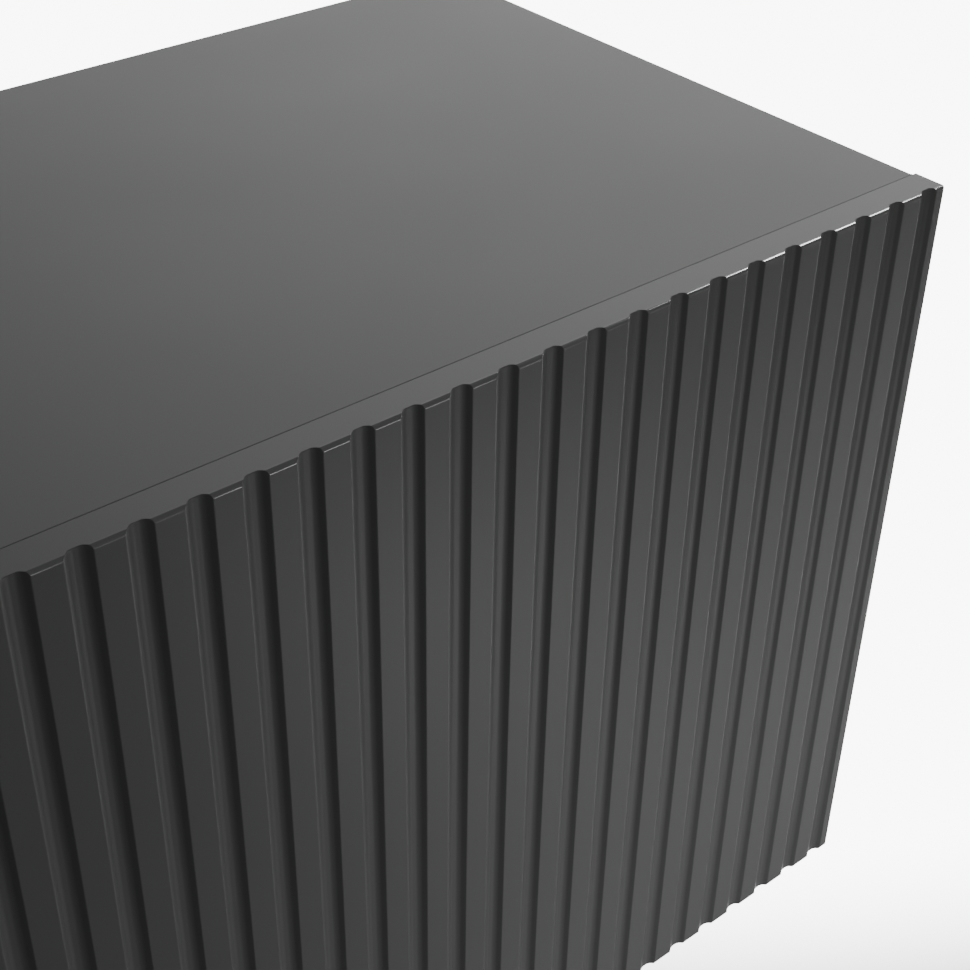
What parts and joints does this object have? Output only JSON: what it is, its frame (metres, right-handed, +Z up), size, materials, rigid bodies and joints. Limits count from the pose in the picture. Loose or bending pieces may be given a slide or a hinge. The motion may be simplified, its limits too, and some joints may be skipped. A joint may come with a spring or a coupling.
{
  "type": "sideboard buffet",
  "caption": "Low matt anthracite sideboard with fluted handleless doors on cup hinges, shelves inside and a black steel loop base.",
  "frame": {"origin": "on the floor, under the middle of the plan", "axes": "+Z up, the doors face -Y, +X to the viewer's right when facing the doors"},
  "size_m": [1.8, 0.4, 0.75],
  "materials": {
    "anthracite_board": "matt melamine with a fine grain",
    "fluted_front": "matt foil wrapped over routed board",
    "back_board": "thin hardboard, printed grey inside and raw brown outside",
    "edge_band": "matt edge banding",
    "black_steel": "fine textured powder coat",
    "nickel_fittings": "nickel plated",
    "grey_plastic": "moulded plastic",
    "glide_plastic": "hard moulded plastic on a steel stud",
    "beech_dowel": "raw turned beech"
  },
  "bodies": {
    "carcass": {"top_panel": "anthracite_board", "bottom_panel": "anthracite_board", "left_side": "anthracite_board", "left_divider": "anthracite_board", "right_divider": "anthracite_board", "right_side": "anthracite_board", "left_back": "back_board", "middle_back": "back_board", "right_back": "back_board", "left_shelf": "anthracite_board", "middle_shelf": "anthracite_board", "right_shelf": "anthracite_board", "edge_bands": "edge_band", "shelf_pins": "nickel_fittings", "cam_locks": "nickel_fittings", "cam_bolts": "nickel_fittings", "dowels": "beech_dowel", "left_leg_frame": "black_steel", "right_leg_frame": "black_steel", "centre_leg": "black_steel", "foot_nuts": "nickel_fittings", "frame_screws": "black_steel", "hinge_plates": "nickel_fittings", "plate_screws": "nickel_fittings", "hinge_arms": "nickel_fittings", "arm_pins": "nickel_fittings", "latch_housings": "grey_plastic", "latch_screws": "nickel_fittings"},
    "front_left_foot": {"front_left_foot": "glide_plastic"},
    "rear_left_foot": {"rear_left_foot": "glide_plastic"},
    "front_right_foot": {"front_right_foot": "glide_plastic"},
    "rear_right_foot": {"rear_right_foot": "glide_plastic"},
    "centre_foot": {"centre_foot": "glide_plastic"},
    "left_door": {"left_door": "fluted_front", "left_hinge_cups": "nickel_fittings", "left_cup_screws": "nickel_fittings", "left_cup_pins": "nickel_fittings", "left_strike_plate": "nickel_fittings"},
    "left_outer_links": {"left_outer_links": "nickel_fittings"},
    "left_inner_links": {"left_inner_links": "nickel_fittings"},
    "left_latch_plunger": {"left_latch_plunger": "grey_plastic"},
    "middle_door": {"middle_door": "fluted_front", "middle_hinge_cups": "nickel_fittings", "middle_cup_screws": "nickel_fittings", "middle_cup_pins": "nickel_fittings", "middle_strike_plate": "nickel_fittings"},
    "middle_outer_links": {"middle_outer_links": "nickel_fittings"},
    "middle_inner_links": {"middle_inner_links": "nickel_fittings"},
    "middle_latch_plunger": {"middle_latch_plunger": "grey_plastic"},
    "right_door": {"right_door": "fluted_front", "right_hinge_cups": "nickel_fittings", "right_cup_screws": "nickel_fittings", "right_cup_pins": "nickel_fittings", "right_strike_plate": "nickel_fittings"},
    "right_outer_links": {"right_outer_links": "nickel_fittings"},
    "right_inner_links": {"right_inner_links": "nickel_fittings"},
    "right_latch_plunger": {"right_latch_plunger": "grey_plastic"}
  },
  "joints": [
    {"name": "front_left_foot_level", "type": "slide", "parent": "carcass", "child": "front_left_foot", "axis": [0, 0, -1], "range_m": [0, 0.01]},
    {"name": "rear_left_foot_level", "type": "slide", "parent": "carcass", "child": "rear_left_foot", "axis": [0, 0, -1], "range_m": [0, 0.01]},
    {"name": "front_right_foot_level", "type": "slide", "parent": "carcass", "child": "front_right_foot", "axis": [0, 0, -1], "range_m": [0, 0.01]},
    {"name": "rear_right_foot_level", "type": "slide", "parent": "carcass", "child": "rear_right_foot", "axis": [0, 0, -1], "range_m": [0, 0.01]},
    {"name": "centre_foot_level", "type": "slide", "parent": "carcass", "child": "centre_foot", "axis": [0, 0, -1], "range_m": [0, 0.01]},
    {"name": "left_link_swing", "type": "hinge", "parent": "carcass", "child": "left_outer_links", "pos_m": [-0.8723, -0.172, 0.51375], "axis": [0, 0, 1], "range_deg": [0, 16.3]},
    {"name": "left_door_swing", "type": "hinge", "parent": "left_outer_links", "child": "left_door", "pos_m": [-0.892, -0.19, 0.51375], "axis": [0, 0, -1], "range_deg": [0, 106.2]},
    {"name": "left_inner_link_swing", "type": "hinge", "parent": "carcass", "child": "left_inner_links", "pos_m": [-0.854, -0.1765, 0.51375], "axis": [0, 0, 1], "range_deg": [0, 19]},
    {"name": "left_latch_push", "type": "slide", "parent": "carcass", "child": "left_latch_plunger", "axis": [0, -1, 0], "range_m": [0, 0.0141]},
    {"name": "middle_link_swing", "type": "hinge", "parent": "carcass", "child": "middle_outer_links", "pos_m": [-0.27097, -0.172, 0.51375], "axis": [0, 0, 1], "range_deg": [0, 16.3]},
    {"name": "middle_door_swing", "type": "hinge", "parent": "middle_outer_links", "child": "middle_door", "pos_m": [-0.29067, -0.19, 0.51375], "axis": [0, 0, -1], "range_deg": [0, 106.2]},
    {"name": "middle_inner_link_swing", "type": "hinge", "parent": "carcass", "child": "middle_inner_links", "pos_m": [-0.25267, -0.1765, 0.51375], "axis": [0, 0, 1], "range_deg": [0, 19]},
    {"name": "middle_latch_push", "type": "slide", "parent": "carcass", "child": "middle_latch_plunger", "axis": [0, -1, 0], "range_m": [0, 0.0141]},
    {"name": "right_link_swing", "type": "hinge", "parent": "carcass", "child": "right_outer_links", "pos_m": [0.8723, -0.172, 0.51375], "axis": [0, 0, -1], "range_deg": [0, 16.3]},
    {"name": "right_door_swing", "type": "hinge", "parent": "right_outer_links", "child": "right_door", "pos_m": [0.892, -0.19, 0.51375], "axis": [0, 0, 1], "range_deg": [0, 106.2]},
    {"name": "right_inner_link_swing", "type": "hinge", "parent": "carcass", "child": "right_inner_links", "pos_m": [0.854, -0.1765, 0.51375], "axis": [0, 0, -1], "range_deg": [0, 19]},
    {"name": "right_latch_push", "type": "slide", "parent": "carcass", "child": "right_latch_plunger", "axis": [0, -1, 0], "range_m": [0, 0.0141]}
  ],
  "couplings": [
    {"joint": "left_link_swing", "follows": "left_door_swing", "ratio": 0.15254},
    {"joint": "left_inner_link_swing", "follows": "left_door_swing", "ratio": 0.17797},
    {"joint": "left_latch_push", "follows": "left_door_swing", "m_per_rad": 0.0075531},
    {"joint": "middle_link_swing", "follows": "middle_door_swing", "ratio": 0.15254},
    {"joint": "middle_inner_link_swing", "follows": "middle_door_swing", "ratio": 0.17797},
    {"joint": "middle_latch_push", "follows": "middle_door_swing", "m_per_rad": 0.0075531},
    {"joint": "right_link_swing", "follows": "right_door_swing", "ratio": 0.15254},
    {"joint": "right_inner_link_swing", "follows": "right_door_swing", "ratio": 0.17797},
    {"joint": "right_latch_push", "follows": "right_door_swing", "m_per_rad": 0.0075531}
  ]
}
